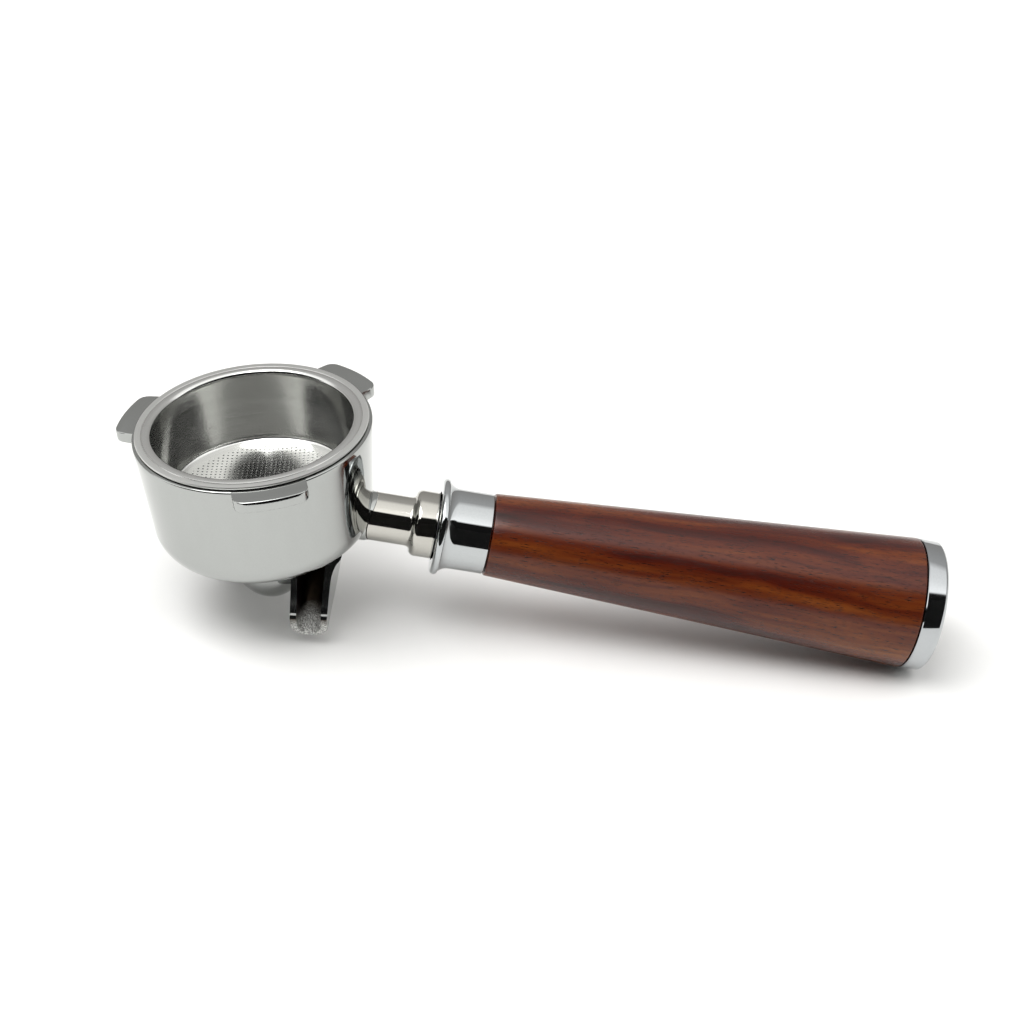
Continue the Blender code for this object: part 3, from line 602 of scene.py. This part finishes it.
gutter_lines = (
    (0.0052, gutter_drop, 0.0112, gutter_drop),
    (0.0046, gutter_drop - 0.0012, 0.0115, gutter_drop - 0.0008),
    (0.0030, gutter_drop - 0.0024, 0.01185, gutter_drop - 0.0018),
    (-0.0010, gutter_drop - 0.0036, 0.0122, gutter_drop - 0.0028),
    (-0.0044, gutter_drop - 0.0052, 0.0127, gutter_drop - 0.0042),
    (-0.0044, gutter_drop - 0.0090, 0.0138, gutter_drop - 0.0074),
    (-0.0034, 0.0116, 0.01465, 0.0124),
    (0.0005, 0.0086, 0.01555, 0.0098),
    (0.0050, 0.0058, 0.0161, 0.0084),
    (0.0095, 0.0027, 0.01635, 0.0076),
    (0.0132, 0.0, 0.0166, 0.0070),
    (0.0150, 0.0006, 0.0167, 0.0068),
)
channel_lines = (
    (0.0070, gutter_drop + 0.0010, 0.0200, gutter_drop + 0.0010),
    (0.0064, gutter_drop - 0.0015, 0.0200, gutter_drop - 0.0010),
    (0.0048, gutter_drop - 0.0030, 0.0200, gutter_drop - 0.0022),
    (0.0008, gutter_drop - 0.0046, 0.0200, gutter_drop - 0.0036),
    (-0.0026, gutter_drop - 0.0066, 0.0200, gutter_drop - 0.0054),
    (-0.0026, 0.0140, 0.0200, 0.0152),
    (0.0, 0.0122, 0.0200, 0.0134),
    (0.0042, 0.0096, 0.0200, 0.0114),
    (0.0088, 0.0065, 0.0200, 0.0096),
    (0.0132, 0.0029, 0.0200, 0.0074),
    (0.0175, -0.0007, 0.0205, 0.0060),
)
hub = [(0.0, spout_top), (hub_r - 0.0004, spout_top), (hub_r, spout_top - 0.0004)]
hub.append((hub_r, spout_top - hub_straight))
hub += [
    (hub_r * math.cos(t) ** 1.3, spout_top - hub_straight - hub_dome * math.sin(t))
    for t in [math.radians(90.0 * step / 24) for step in range(1, 24)]
]
hub.append((0.0, spout_top - hub_straight - hub_dome))
spout = finish_mesh(spun(hub, 128), "double_spout", "outlet", "spout", [spout_chrome, cast_chrome])
gutters = []
for opens in (-97.0, 83.0):
    flank = tool_piece(
        gutter_loft(through(gutter_lines, 55), 0.0, 0.0035, 0.0022, opens, 1), "gutter",
        [spout_chrome, cast_chrome],
    )
    trough = tool_piece(
        gutter_loft(through(channel_lines, 50), 0.0017, 0.00265, 0.0, opens), "channel", [cast_chrome]
    )
    combine(flank, [("DIFFERENCE", trough)])
    gutters.append(flank)
shoulder = boss_end - 0.0003
cross_level = shoulder - 0.0032
bore = [(0.0, bottom_h), (outer_r + 0.0003, bottom_h), (outer_r + 0.0003, spout_top)]
bore += [(boss_r + 0.0003, spout_top), (boss_r + 0.0003, shoulder)]
bore += [(bore_r, shoulder), (bore_r, cross_level - 0.0026), (0.0, cross_level - 0.0038)]
cross = bmesh.new()
bmesh.ops.create_cone(cross, cap_ends=True, segments=32, radius1=0.0026, radius2=0.0026, depth=0.0251)
bmesh.ops.rotate(cross, verts=cross.verts, matrix=Matrix.Rotation(math.radians(90.0), 3, "Y"))
bmesh.ops.rotate(cross, verts=cross.verts, matrix=Matrix.Rotation(math.radians(-7.0), 3, "Z"))
bmesh.ops.translate(cross, verts=cross.verts, vec=(0.0, 0.0, cross_level))
combine(
    spout,
    [("UNION", flank) for flank in gutters]
    + [("DIFFERENCE", tool_piece(spun(bore, 96), "spout_bore", [cast_chrome])),
       ("DIFFERENCE", tool_piece(cross, "cross_hole", [cast_chrome]))],
)


# ---- Neck ----
# A round brass bar with a stepped collar, butted and brazed to the bowl's root, tapped
# for the handle's stud, then polished and chromed with the bowl.
arm_chrome = bright_chrome("polished_chrome_on_bar", ("#b6b4ad", "#bfbdb7"), 0.045, 0.10, 0.10)
stud_bore, collar_r, collar_at, collar_end = 0.0043, 0.00867, 0.0390, 0.0454
arm = [(0.0, 0.0339), (stud_bore, 0.0339), (stud_bore, collar_end), (collar_r - 0.0004, collar_end)]
arm += bend(collar_r - 0.0004, collar_end - 0.0004, 0.0004, 90.0, 0.0, 4)[1:]
arm += bend(collar_r - 0.0020, collar_at + 0.0020, 0.0020, 0.0, -58.0, 12)
arm += bend(neck_r + 0.0014, collar_at - 0.0009, 0.0014, 118.0, 180.0, 8)
arm += [(neck_r, seam_at - 0.0070), (0.0, seam_at - 0.0070)]
neck = finish_mesh(spun(arm, 128, place=along_handle), "neck", "holder", "neck_arm", [arm_chrome])
combine(neck, [("DIFFERENCE", tool_piece(seam_bar(seam_bend + 0.00012), "seam_neck_side", [arm_chrome]))])


# ---- Ferrule ----
# A turned sleeve with a thin flared rim that slides over the wood's spigot and hides the
# joint. It is the brightest chrome on the handle.
mirror_chrome = bright_chrome("mirror_chrome_on_sleeve", ("#b2b5b6", "#bbbebf"), 0.035, 0.08, 0.07)
front, back_end, skirt_r, lip_r, sleeve_r = 0.0455, 0.0592, 0.0105, 0.0126, 0.0090
rise, edge_r, flare = lip_r - skirt_r, 0.0011, 0.0046
sleeve = [(sleeve_r, back_end), (skirt_r - 0.0002, back_end), (skirt_r, back_end - 0.0002)]
sleeve += [(skirt_r, front + flare + (back_end - front - flare - 0.0002) * k / 4) for k in (3, 2, 1, 0)]
sleeve += [
    (skirt_r + rise * 0.9 * part ** 1.9, front + flare - (flare - edge_r * 1.4) * part)
    for part in [0.88 * k / 12 for k in range(1, 13)]
]
sleeve += bend(lip_r - edge_r, front + edge_r, edge_r, 40.0, -90.0, 10)
sleeve.append((sleeve_r, front))
finish_mesh(
    spun(sleeve, 160, closed=True, place=along_handle), "sleeve", "holder", "ferrule", [mirror_chrome]
)


# ---- Grip ----
# Turned from one piece of red tropical hardwood with the grain along it, sanded fine and
# given a thin satin lacquer, so that the pores still show.
def lacquered_rosewood(name):
    """Red-brown heartwood with near-black veins, short dark pores and a satin lacquer."""
    made, tree, shader, place = start_material(name)
    straight = node(
        tree, "ShaderNodeMapping", {"Vector": place, "Rotation": (0.0, -math.radians(14.0), 0.0)}
    ).outputs[0]
    # a slow wander keeps the veins from running dead straight
    wander = node(tree, "ShaderNodeTexNoise", {"Vector": straight, "Scale": 22.0, "Detail": 2.0})
    drift = node(
        tree, "ShaderNodeVectorMath",
        {0: wander.outputs["Color"], 1: (0.0, 0.007, 0.007)}, operation="MULTIPLY",
    )
    wavy = node(tree, "ShaderNodeVectorMath", {0: straight, 1: drift.outputs[0]}, operation="ADD")
    # growth bands 2 to 5 mm wide and a few centimetres long
    long_bands = node(
        tree, "ShaderNodeVectorMath", {0: wavy.outputs[0], 1: (9.0, 170.0, 230.0)}, operation="MULTIPLY"
    )
    bands = node(tree, "ShaderNodeTexNoise", {"Vector": long_bands.outputs[0], "Scale": 1.0, "Detail": 5.0})
    # dark veins under a millimetre wide
    fine = node(
        tree, "ShaderNodeVectorMath", {0: wavy.outputs[0], 1: (28.0, 900.0, 1000.0)}, operation="MULTIPLY"
    )
    veins = node(tree, "ShaderNodeTexNoise", {"Vector": fine.outputs[0], "Scale": 1.0, "Detail": 3.0})
    # pores 0.15 mm wide and 2 to 4 mm long
    pore_cells = node(
        tree, "ShaderNodeVectorMath", {0: straight, 1: (330.0, 5200.0, 5200.0)}, operation="MULTIPLY"
    )
    pores = node(tree, "ShaderNodeTexNoise", {"Vector": pore_cells.outputs[0], "Scale": 1.0, "Detail": 1.0})
    pore_mask = node(
        tree, "ShaderNodeMapRange",
        {"Value": pores.outputs["Fac"], "From Min": 0.60, "From Max": 0.70, "To Min": 0.0, "To Max": 1.0},
    )
    heart = node(tree, "ShaderNodeValToRGB", {0: bands.outputs["Fac"]})
    ramp = heart.color_ramp
    ramp.elements[0].position = 0.30
    ramp.elements[0].color = to_linear("#280803")
    ramp.elements[1].position = 0.72
    ramp.elements[1].color = to_linear("#7a421b")
    for at, code in ((0.42, "#411005"), (0.52, "#54200b"), (0.62, "#673111")):
        ramp.elements.new(at).color = to_linear(code)
    vein_mask = node(
        tree, "ShaderNodeMapRange",
        {"Value": veins.outputs["Fac"], "From Min": 0.56, "From Max": 0.74, "To Min": 0.0, "To Max": 0.5},
    )
    streaked = node(
        tree, "ShaderNodeMix",
        {0: vein_mask.outputs["Result"], 6: heart.outputs[0], 7: to_linear("#240a06")}, data_type="RGBA",
    )
    pored = node(
        tree, "ShaderNodeMix",
        {0: pore_mask.outputs["Result"], 6: streaked.outputs[2], 7: to_linear("#1a0805")}, data_type="RGBA",
    )
    tree.links.new(pored.outputs[2], shader.inputs["Base Color"])
    satin = node(
        tree, "ShaderNodeMapRange",
        {"Value": bands.outputs["Fac"], "From Min": 0.3, "From Max": 0.7, "To Min": 0.30, "To Max": 0.22},
    )
    tree.links.new(satin.outputs["Result"], shader.inputs["Roughness"])
    shader.inputs["IOR"].default_value = 1.52
    shader.inputs["Specular IOR Level"].default_value = 0.3
    shader.inputs["Coat Weight"].default_value = 0.06
    shader.inputs["Coat Roughness"].default_value = 0.2
    sunk = node(
        tree, "ShaderNodeBump",
        {"Height": pore_mask.outputs["Result"], "Strength": 0.25, "Distance": 0.00006}, invert=True,
    )
    tree.links.new(sunk.outputs["Normal"], shader.inputs["Normal"])
    return made


rosewood = lacquered_rosewood("lacquered_red_hardwood")
grip_at, grip_end, spigot_r, spigot_at = 0.0595, 0.1725, 0.0087, 0.0530
small_r, large_r = 0.0108, 0.0173
tail_r, tail_at, plug_r, plug_at = 0.0058, 0.1504, 0.0063, 0.1690
pocket_r, pocket_end = 0.0068, 0.0776
stock = [(0.0, tail_at - 0.0030), (0.0033, tail_at), (tail_r, tail_at), (tail_r, plug_at)]
stock += [(plug_r, plug_at), (plug_r, grip_end), (large_r - 0.0006, grip_end)]
stock += bend(large_r - 0.0006, grip_end - 0.0006, 0.0006, 90.0, 0.0, 5)[1:]
stock += [
    (small_r + (large_r - small_r) * k / 24, grip_at + 0.0004 + (grip_end - grip_at - 0.0010) * k / 24)
    for k in range(23, 0, -1)
]
stock += bend(small_r - 0.0004, grip_at + 0.0004, 0.0004, 0.0, -90.0, 4)
stock += [(spigot_r, grip_at), (spigot_r, spigot_at), (pocket_r, spigot_at), (pocket_r, pocket_end)]
stock += [(stud_bore, pocket_end), (stud_bore, 0.0986), (0.0, 0.1006)]
finish_mesh(spun(stock, 160, place=along_handle), "wooden_handle", "handle", "grip", [rosewood])


# ---- End cap ----
# A turned disc that is screwed into the wood's end, bevelled, polished and chromed like
# the sleeve.
cap_chrome = bright_chrome("mirror_chrome_on_disc", ("#afb2b4", "#b8bbbd"), 0.04, 0.09, 0.07)
cap_at, cap_end, cap_plug_r, cap_bore = 0.1728, 0.1784, 0.0060, 0.0033
disc = [(0.0, cap_end), (large_r - 0.0010, cap_end), (large_r - 0.0008, cap_end - 0.0001)]
disc += [(large_r - 0.0001, cap_end - 0.0008), (large_r, cap_end - 0.0011), (large_r, cap_at + 0.0002)]
disc += [(large_r - 0.0002, cap_at), (cap_plug_r, cap_at), (cap_plug_r, plug_at + 0.0003)]
disc += [(cap_bore, plug_at + 0.0003), (cap_bore, cap_end - 0.0022), (0.0, cap_end - 0.0022)]
finish_mesh(spun(disc, 160, place=along_handle), "screwed_cap", "cap", "end_cap", [cap_chrome])


# ---- Studs, nut and inserts ----
# The fastenings inside the handle: zinc-plated steel rod and nut, and plain brass
# threaded inserts pressed into the wood. They show only when the handle is opened.
def plated_steel(name, dull, clean, rough):
    """Machined bar stock: cloudy plating."""
    made, tree, shader, place = start_material(name)
    shader.inputs["Metallic"].default_value = 1.0
    cloud = node(tree, "ShaderNodeTexNoise", {"Vector": place, "Scale": 400.0, "Detail": 5.0})
    tint = node(
        tree, "ShaderNodeMix",
        {0: cloud.outputs["Fac"], 6: to_linear(dull), 7: to_linear(clean)}, data_type="RGBA",
    )
    tree.links.new(tint.outputs[2], shader.inputs["Base Color"])
    wear = node(
        tree, "ShaderNodeMapRange",
        {"Value": cloud.outputs["Fac"], "To Min": rough - 0.1, "To Max": rough + 0.1},
    )
    tree.links.new(wear.outputs["Result"], shader.inputs["Roughness"])
    return made


zinc = plated_steel("zinc_plated_steel", "#8d8f92", "#b8babd", 0.38)
brass = plated_steel("machined_brass", "#a07a35", "#d0a85a", 0.3)
for inner_node, metal in (
    ("handle_stud", zinc), ("lock_nut", zinc), ("cap_stud", zinc),
    ("front_insert", brass), ("tail_insert", brass),
):
    for slot in frame["nodes"][inner_node].material_slots:
        slot.material = metal


# ---- Table and light ----
# The table is plain white laminate, under the far spout's lip and the cap's lower edge.
far_lip = Matrix.Rotation(math.radians(83.0), 3, "Z") @ Vector((0.0132, 0.0121, 0.0))
far_lip.z = spout_tip
cap_edge = along_handle @ Vector((large_r - 0.0003, 0.0, cap_end - 0.0003))
lean = math.atan2(far_lip.z - cap_edge.z, cap_edge.x - far_lip.x)
table = bmesh.new()
bmesh.ops.create_grid(table, x_segments=1, y_segments=1, size=4.0)
bmesh.ops.rotate(table, verts=table.verts, matrix=Matrix.Rotation(lean, 3, "Y"))
bmesh.ops.translate(table, verts=table.verts, vec=cap_edge - Vector((0.0, 0.0, 0.0004)))
table_paint, table_tree, table_shader, table_place = start_material("matt_white_laminate")
fleck = node(table_tree, "ShaderNodeTexNoise", {"Vector": table_place, "Scale": 60.0, "Detail": 3.0})
table_tone = node(
    table_tree, "ShaderNodeMix",
    {0: fleck.outputs["Fac"], 6: to_linear("#f4f4f2"), 7: to_linear("#fafaf9")}, data_type="RGBA",
)
table_tree.links.new(table_tone.outputs[2], table_shader.inputs["Base Color"])
table_shader.inputs["Roughness"].default_value = 0.7
table_mesh = bpy.data.meshes.new("table")
table.to_mesh(table_mesh)
table.free()
table_mesh.materials.append(table_paint)
table_piece = bpy.data.objects.new("table", table_mesh)
bpy.context.scene.collection.objects.link(table_piece)

# a black flag low down in front, which puts the dark line into the chrome
flag = bmesh.new()
bmesh.ops.create_grid(flag, x_segments=1, y_segments=1, size=1.0)
bmesh.ops.scale(flag, verts=flag.verts, vec=(0.9, 0.09, 1.0))
bmesh.ops.rotate(flag, verts=flag.verts, matrix=Matrix.Rotation(math.radians(90.0), 3, "X"))
bmesh.ops.translate(flag, verts=flag.verts, vec=(0.1, -0.17, -0.01))
felt, felt_tree, felt_shader, felt_place = start_material("black_felt")
felt_shader.inputs["Base Color"].default_value = to_linear("#050505")
felt_shader.inputs["Roughness"].default_value = 1.0
flag_mesh = bpy.data.meshes.new("black_flag")
flag.to_mesh(flag_mesh)
flag.free()
flag_mesh.materials.append(felt)
flag_piece = bpy.data.objects.new("black_flag", flag_mesh)
bpy.context.scene.collection.objects.link(flag_piece)
for ray in ("camera", "diffuse", "shadow", "transmission", "volume_scatter"):
    setattr(flag_piece, "visible_" + ray, False)

# the room is dark low down in front, bright overhead and grey behind; 0 in the ramp is
# straight behind, 0.5 straight ahead and 0.75 overhead
room = bpy.data.worlds.new("studio")
bpy.context.scene.world = room
room.use_nodes = True
room_tree = room.node_tree
room_tree.nodes.clear()
way = node(room_tree, "ShaderNodeTexCoord").outputs["Generated"]
way_axes = node(room_tree, "ShaderNodeSeparateXYZ", {0: way})
ahead = node(room_tree, "ShaderNodeMath", {0: way_axes.outputs[1], 1: -1.0}, operation="MULTIPLY")
climb = node(
    room_tree, "ShaderNodeMath", {0: way_axes.outputs[2], 1: ahead.outputs[0]}, operation="ARCTAN2"
)
half_turn = node(
    room_tree, "ShaderNodeMapRange",
    {"Value": climb.outputs[0], "From Min": -math.pi, "From Max": math.pi, "To Min": 0.0, "To Max": 1.0},
)
sky = node(room_tree, "ShaderNodeValToRGB", {0: half_turn.outputs["Result"]})
steps = sky.color_ramp
steps.elements[0].position = 0.0
steps.elements[0].color = (0.40, 0.39, 0.38, 1.0)
steps.elements[1].position = 1.0
steps.elements[1].color = (0.40, 0.39, 0.38, 1.0)
room_levels = (
    (0.495, 0.40), (0.50, 0.012), (0.645, 0.012), (0.655, 1.9), (0.72, 1.5), (0.80, 1.3), (0.84, 0.62),
)
for at, level in room_levels:
    steps.elements.new(at).color = (level, level * 0.995, level * 0.985, 1.0)
glow = node(room_tree, "ShaderNodeBackground", {"Color": sky.outputs[0], "Strength": 1.0})
plain = node(room_tree, "ShaderNodeBackground", {"Color": (0.9, 0.9, 0.9, 1.0), "Strength": 1.0})
seen = node(room_tree, "ShaderNodeLightPath").outputs["Is Camera Ray"]
both = node(room_tree, "ShaderNodeMixShader", {0: seen, 1: glow.outputs[0], 2: plain.outputs[0]})
node(room_tree, "ShaderNodeOutputWorld", {"Surface": both.outputs[0]})

softbox_data = bpy.data.lights.new("softbox", "AREA")
softbox_data.shape = "RECTANGLE"
softbox_data.size = 1.1
softbox_data.size_y = 0.7
softbox_data.energy = 12.0
softbox = bpy.data.objects.new("softbox", softbox_data)
softbox.location = (-0.25, -0.35, 1.25)
softbox.rotation_euler = (
    (Vector((0.08, 0.0, -0.05)) - softbox.location).to_track_quat("-Z", "Y").to_euler()
)
bpy.context.scene.collection.objects.link(softbox)
bpy.context.scene.view_settings.view_transform = "Standard"
